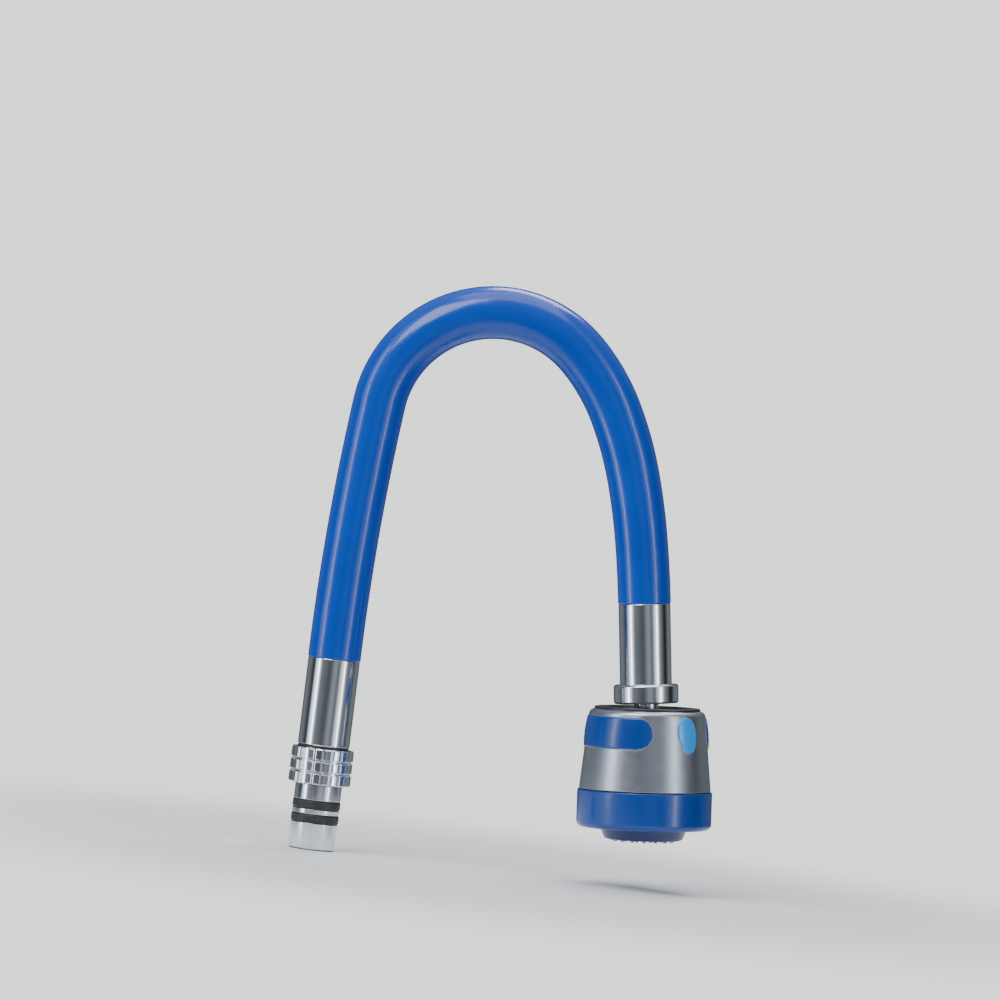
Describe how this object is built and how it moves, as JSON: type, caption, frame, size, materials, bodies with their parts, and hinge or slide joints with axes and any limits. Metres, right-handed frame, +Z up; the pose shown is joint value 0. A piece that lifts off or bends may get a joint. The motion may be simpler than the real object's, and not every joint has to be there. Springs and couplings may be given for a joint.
{
  "type": "handheld bath sprayer",
  "caption": "Flexible stay-put gooseneck sprayer with a chrome tap union, a blue sleeved neck and a bell-shaped two-spray head that tilts on a ball joint and turns.",
  "frame": {"origin": "centre of the inlet spigot's lower end, on the spigot's axis", "axes": "+Z up along the inlet axis, the neck bends over towards +X and lies in the XZ plane, Y is across the neck"},
  "size_m": [0.1637, 0.052, 0.2235],
  "materials": {
    "chrome_fittings": "mirror chrome plating",
    "black_seals": "matt black rubber",
    "steel_inside": "bright steel",
    "hose_core": "smooth white rubber",
    "blue_sleeve": "glossy blue silicone",
    "white_plastic": "plain moulded acetal",
    "black_cap": "satin black moulding",
    "satin_bell": "satin silver plating on plastic",
    "blue_grip": "soft-gloss blue moulding",
    "cyan_inlay": "glossy cyan moulding",
    "nozzle_blue": "dark blue moulding",
    "grey_nubs": "soft grey silicone"
  },
  "bodies": {
    "inlet": {"inlet_tail": "chrome_fittings", "hose_barb": "chrome_fittings", "spigot_seals": "black_seals", "slip_washer": "black_seals", "inlet_ferrule": "chrome_fittings", "inlet_crimp": "steel_inside", "inner_hose": "hose_core", "sleeve_01": "blue_sleeve", "coil_01": "steel_inside"},
    "union_nut": {"union_nut": "chrome_fittings"},
    "neck_02": {"sleeve_02": "blue_sleeve", "coil_02": "steel_inside"},
    "neck_03": {"sleeve_03": "blue_sleeve", "coil_03": "steel_inside"},
    "neck_04": {"sleeve_04": "blue_sleeve", "coil_04": "steel_inside"},
    "neck_05": {"sleeve_05": "blue_sleeve", "coil_05": "steel_inside"},
    "neck_06": {"sleeve_06": "blue_sleeve", "coil_06": "steel_inside"},
    "neck_07": {"sleeve_07": "blue_sleeve", "coil_07": "steel_inside"},
    "neck_08": {"sleeve_08": "blue_sleeve", "coil_08": "steel_inside"},
    "neck_09": {"sleeve_09": "blue_sleeve", "coil_09": "steel_inside"},
    "neck_10": {"sleeve_10": "blue_sleeve", "coil_10": "steel_inside"},
    "neck_11": {"sleeve_11": "blue_sleeve", "coil_11": "steel_inside"},
    "outlet": {"sleeve_12": "blue_sleeve", "coil_12": "steel_inside", "outlet_ferrule": "chrome_fittings", "outlet_crimp": "steel_inside", "swivel_nut": "chrome_fittings", "ball_stub": "chrome_fittings"},
    "upper_liner": {"ball_ring": "white_plastic"},
    "lower_liner": {"ball_seat": "white_plastic"},
    "head": {"top_cap": "black_cap", "bell_shell": "satin_bell", "grip_pads": "blue_grip", "accent_ovals": "cyan_inlay", "water_core": "white_plastic", "filter_screen": "steel_inside", "core_seal": "black_seals", "port_seals": "black_seals", "detent_ball": "steel_inside", "detent_spring": "steel_inside"},
    "spray_face": {"mode_ring": "blue_grip", "retaining_collar": "white_plastic", "spray_cup": "white_plastic", "diverter_disc": "white_plastic", "diverter_seal": "black_seals", "nozzle_plate": "nozzle_blue", "nozzle_mat": "grey_nubs", "aerator_body": "chrome_fittings", "aerator_screen": "steel_inside"}
  },
  "joints": [
    {"name": "union_nut_spin", "type": "hinge", "parent": "inlet", "child": "union_nut", "pos_m": [0, 0, 0.0319], "axis": [0, 0, 1], "continuous": true},
    {"name": "neck_bend_01", "type": "hinge", "parent": "inlet", "child": "neck_02", "pos_m": [0.00033, 0, 0.0984], "axis": [0, 1, 0], "range_deg": [-4.1, 0.5], "deforming": ["inner_hose"]},
    {"name": "neck_bend_02", "type": "hinge", "parent": "neck_02", "child": "neck_03", "pos_m": [0.00131, 0, 0.12338], "axis": [0, 1, 0], "range_deg": [-6.1, 0.7]},
    {"name": "neck_sway_03", "type": "hinge", "parent": "neck_03", "child": "neck_04", "pos_m": [0.00294, 0, 0.14832], "axis": [0.9969, 0, -0.0785], "range_deg": [-15.1, 15.1]},
    {"name": "neck_bend_04", "type": "hinge", "parent": "neck_04", "child": "neck_05", "pos_m": [0.00523, 0, 0.17322], "axis": [0, 1, 0], "range_deg": [-22.1, 2.3]},
    {"name": "neck_bend", "type": "hinge", "parent": "neck_05", "child": "neck_06", "pos_m": [0.01448, 0, 0.1961], "axis": [0, 1, 0], "range_deg": [-24, 2.4]},
    {"name": "neck_sway", "type": "hinge", "parent": "neck_06", "child": "neck_07", "pos_m": [0.03444, 0, 0.2106], "axis": [0.342, 0, -0.9397], "range_deg": [-15, 15]},
    {"name": "neck_bend_07", "type": "hinge", "parent": "neck_07", "child": "neck_08", "pos_m": [0.05905, 0, 0.21232], "axis": [0, 1, 0], "range_deg": [-24.1, 2.5]},
    {"name": "neck_bend_08", "type": "hinge", "parent": "neck_08", "child": "neck_09", "pos_m": [0.08084, 0, 0.20074], "axis": [0, 1, 0], "range_deg": [-24.1, 2.5]},
    {"name": "neck_sway_09", "type": "hinge", "parent": "neck_09", "child": "neck_10", "pos_m": [0.09578, 0, 0.18082], "axis": [-0.8849, 0, -0.4658], "range_deg": [-15.1, 15.1]},
    {"name": "neck_bend_10", "type": "hinge", "parent": "neck_10", "child": "neck_11", "pos_m": [0.10536, 0, 0.15777], "axis": [0, 1, 0], "range_deg": [-18.1, 1.9]},
    {"name": "neck_bend_11", "type": "hinge", "parent": "neck_11", "child": "outlet", "pos_m": [0.11158, 0, 0.13357], "axis": [0, 1, 0], "range_deg": [-8.1, 0.9]},
    {"name": "head_tilt_side", "type": "hinge", "parent": "outlet", "child": "upper_liner", "pos_m": [0.12265, 0, 0.06061], "axis": [0, 1, 0], "range_deg": [-13, 7]},
    {"name": "head_tilt_front", "type": "hinge", "parent": "upper_liner", "child": "lower_liner", "pos_m": [0.12265, 0, 0.06061], "axis": [-0.9961, 0, -0.0882], "range_deg": [-10, 10]},
    {"name": "head_turn", "type": "hinge", "parent": "lower_liner", "child": "head", "pos_m": [0.12265, 0, 0.06061], "axis": [0.0882, 0, -0.9961], "continuous": true},
    {"name": "mode_turn", "type": "hinge", "parent": "head", "child": "spray_face", "pos_m": [0.12265, 0, 0.06061], "axis": [0.0882, 0, -0.9961], "range_deg": [0, 45]}
  ],
  "couplings": [
    {"joint": "neck_bend_01", "follows": "neck_bend", "ratio": 0.16667},
    {"joint": "neck_bend_02", "follows": "neck_bend", "ratio": 0.25},
    {"joint": "neck_sway_03", "follows": "neck_sway", "ratio": 1},
    {"joint": "neck_bend_04", "follows": "neck_bend", "ratio": 0.91667},
    {"joint": "neck_bend_07", "follows": "neck_bend", "ratio": 1},
    {"joint": "neck_bend_08", "follows": "neck_bend", "ratio": 1},
    {"joint": "neck_sway_09", "follows": "neck_sway", "ratio": 1},
    {"joint": "neck_bend_10", "follows": "neck_bend", "ratio": 0.75},
    {"joint": "neck_bend_11", "follows": "neck_bend", "ratio": 0.33333}
  ]
}
